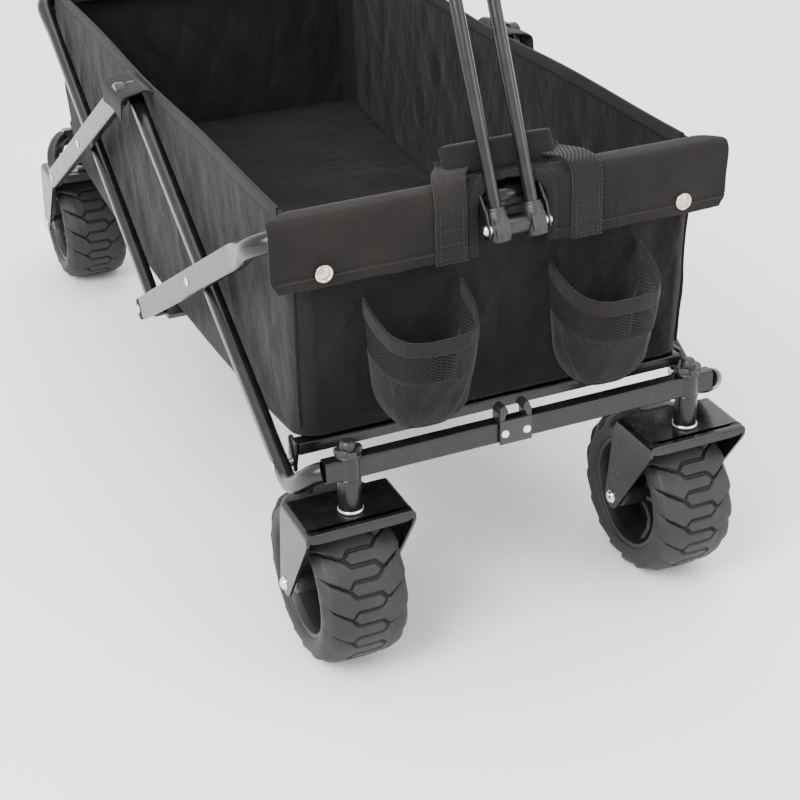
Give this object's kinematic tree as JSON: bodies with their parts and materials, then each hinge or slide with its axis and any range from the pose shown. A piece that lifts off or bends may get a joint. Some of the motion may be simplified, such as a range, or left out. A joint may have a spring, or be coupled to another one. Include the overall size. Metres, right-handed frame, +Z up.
{
  "type": "beach cart",
  "caption": "Folding beach cart: crossed-link steel frame, open cloth bag with bottle pockets, wide caster wheels and a pull handle.",
  "frame": {"origin": "centre of the whole cart, on the ground under it", "axes": "+Z up, +Y towards the rear, +X towards the cart's left side seen from behind the rear end; the pull handle and casters are at the -Y end"},
  "size_m": [0.497, 1.1916, 0.9024],
  "materials": {
    "frame_paint": "gloss black powder coat",
    "handle_tube_paint": "gloss gunmetal",
    "bright_metal": "bright zinc and nickel",
    "moulded_plastic": "satin black",
    "grip_plastic": "soft-touch black",
    "tyre": "matte moulded charcoal",
    "bag_cloth": "coated polyester weave, charcoal",
    "webbing": "ribbed polyester webbing"
  },
  "bodies": {
    "front_carriage": {"front_crossbar": "frame_paint", "handle_clip": "moulded_plastic", "cap_front_left": "moulded_plastic", "cap_front_right": "moulded_plastic"},
    "front_legs": {"front_leg_left": "frame_paint", "front_leg_right": "frame_paint", "rivet_front_support_left": "bright_metal", "rivet_front_support_right": "bright_metal"},
    "front_rail": {"front_rail": "frame_paint", "rivet_middle_left": "bright_metal", "rivet_middle_right": "bright_metal", "rivet_front_crossing_left": "bright_metal", "rivet_front_crossing_right": "bright_metal"},
    "front_panel": {"bag": "bag_cloth", "front_flap": "bag_cloth", "pocket_left": "bag_cloth", "pocket_right": "bag_cloth", "carry_strap": "webbing", "handle_bracket": "frame_paint", "handle_bolt": "bright_metal"},
    "handle": {"handle_yoke": "moulded_plastic", "handle_tube_left": "handle_tube_paint", "handle_tube_right": "handle_tube_paint", "handle_collar": "moulded_plastic"},
    "handle_slide": {"handle_slider": "handle_tube_paint", "handle_grip": "grip_plastic"},
    "rear_rail": {"rear_rail": "frame_paint"},
    "rear_panel": {"rear_flap": "bag_cloth"},
    "rear_legs": {"rear_leg_left": "frame_paint", "rear_leg_right": "frame_paint", "rivet_rear_crossing_left": "bright_metal", "rivet_rear_crossing_right": "bright_metal", "rivet_rear_support_left": "bright_metal", "rivet_rear_support_right": "bright_metal"},
    "rear_carriage": {"rear_crossbar": "frame_paint", "cap_rear_left": "moulded_plastic", "cap_rear_right": "moulded_plastic", "fork_rear_left": "frame_paint", "fork_rear_right": "frame_paint", "axle_rear_left": "bright_metal", "axle_rear_right": "bright_metal"},
    "front_floor_bar": {"front_floor_bar": "frame_paint"},
    "rear_floor_bar": {"rear_floor_bar": "frame_paint"},
    "middle_floor_bar": {"middle_floor_bar": "frame_paint", "floor_knuckle_left": "moulded_plastic", "floor_knuckle_right": "moulded_plastic"},
    "caster_left": {"fork_front_left": "frame_paint", "axle_front_left": "bright_metal", "washer_front_left": "bright_metal"},
    "wheel_front_left": {"hub_front_left": "moulded_plastic", "tyre_front_left": "tyre"},
    "wheel_rear_left": {"hub_rear_left": "moulded_plastic", "tyre_rear_left": "tyre"},
    "caster_right": {"fork_front_right": "frame_paint", "axle_front_right": "bright_metal", "washer_front_right": "bright_metal"},
    "wheel_front_right": {"hub_front_right": "moulded_plastic", "tyre_front_right": "tyre"},
    "wheel_rear_right": {"hub_rear_right": "moulded_plastic", "tyre_rear_right": "tyre"}
  },
  "joints": [
    {"name": "fold", "type": "hinge", "parent": "front_carriage", "child": "front_legs", "pos_m": [0, -0.55225, 0.23], "axis": [1, 0, 0], "range_deg": [0, 50], "deforming": ["bag"]},
    {"name": "front_crossing", "type": "hinge", "parent": "front_legs", "child": "front_rail", "pos_m": [0, -0.28025, 0.31767], "axis": [1, 0, 0], "range_deg": [-100, 0]},
    {"name": "front_panel_hang", "type": "hinge", "parent": "front_rail", "child": "front_panel", "pos_m": [0, -0.50737, 0.44565], "axis": [1, 0, 0], "range_deg": [0, 50]},
    {"name": "middle_pivot", "type": "hinge", "parent": "front_rail", "child": "rear_rail", "pos_m": [0, -0.05225, 0.1892], "axis": [1, 0, 0], "range_deg": [0, 100]},
    {"name": "rear_panel_hang", "type": "hinge", "parent": "rear_rail", "child": "rear_panel", "pos_m": [0, 0.40287, 0.44565], "axis": [1, 0, 0], "range_deg": [-50, 0]},
    {"name": "rear_crossing", "type": "hinge", "parent": "rear_rail", "child": "rear_legs", "pos_m": [0, 0.17575, 0.31767], "axis": [1, 0, 0], "range_deg": [-100, 0]},
    {"name": "rear_carriage_pivot", "type": "hinge", "parent": "rear_legs", "child": "rear_carriage", "pos_m": [0, 0.45575, 0.23], "axis": [1, 0, 0], "range_deg": [0, 50]},
    {"name": "front_floor_pivot", "type": "hinge", "parent": "front_legs", "child": "front_floor_bar", "pos_m": [0, -0.48132, 0.20437], "axis": [1, 0, 0], "range_deg": [-50, 0]},
    {"name": "rear_floor_pivot", "type": "hinge", "parent": "rear_legs", "child": "rear_floor_bar", "pos_m": [0, 0.37682, 0.20437], "axis": [1, 0, 0], "range_deg": [0, 50]},
    {"name": "middle_floor_pivot", "type": "hinge", "parent": "front_rail", "child": "middle_floor_bar", "pos_m": [0, -0.05225, 0.1892], "axis": [1, 0, 0], "range_deg": [0, 50]},
    {"name": "handle_tilt", "type": "hinge", "parent": "front_panel", "child": "handle", "pos_m": [0, -0.53487, 0.42765], "axis": [1, 0, 0], "range_deg": [0, 150]},
    {"name": "handle_extend", "type": "slide", "parent": "handle", "child": "handle_slide", "axis": [0, 0.4226, 0.9063], "range_m": [0, 0.15]},
    {"name": "caster_left_swivel", "type": "hinge", "parent": "front_carriage", "child": "caster_left", "pos_m": [0.181, -0.55225, 0.19], "axis": [0, 0, 1], "continuous": true},
    {"name": "wheel_front_left_spin", "type": "hinge", "parent": "caster_left", "child": "wheel_front_left", "pos_m": [0.181, -0.50775, 0.088], "axis": [1, 0, 0], "continuous": true},
    {"name": "wheel_rear_left_spin", "type": "hinge", "parent": "rear_carriage", "child": "wheel_rear_left", "pos_m": [0.181, 0.50775, 0.088], "axis": [1, 0, 0], "continuous": true},
    {"name": "caster_right_swivel", "type": "hinge", "parent": "front_carriage", "child": "caster_right", "pos_m": [-0.181, -0.55225, 0.19], "axis": [0, 0, 1], "continuous": true},
    {"name": "wheel_front_right_spin", "type": "hinge", "parent": "caster_right", "child": "wheel_front_right", "pos_m": [-0.181, -0.50775, 0.088], "axis": [1, 0, 0], "continuous": true},
    {"name": "wheel_rear_right_spin", "type": "hinge", "parent": "rear_carriage", "child": "wheel_rear_right", "pos_m": [-0.181, 0.50775, 0.088], "axis": [1, 0, 0], "continuous": true}
  ],
  "couplings": [
    {"joint": "front_crossing", "follows": "fold", "ratio": -2},
    {"joint": "front_panel_hang", "follows": "fold", "ratio": 1},
    {"joint": "rear_panel_hang", "follows": "fold", "ratio": -1},
    {"joint": "middle_pivot", "follows": "fold", "ratio": 2},
    {"joint": "rear_crossing", "follows": "fold", "ratio": -2},
    {"joint": "rear_carriage_pivot", "follows": "fold", "ratio": 1},
    {"joint": "front_floor_pivot", "follows": "fold", "ratio": -1},
    {"joint": "rear_floor_pivot", "follows": "fold", "ratio": 1},
    {"joint": "middle_floor_pivot", "follows": "fold", "ratio": 1}
  ]
}
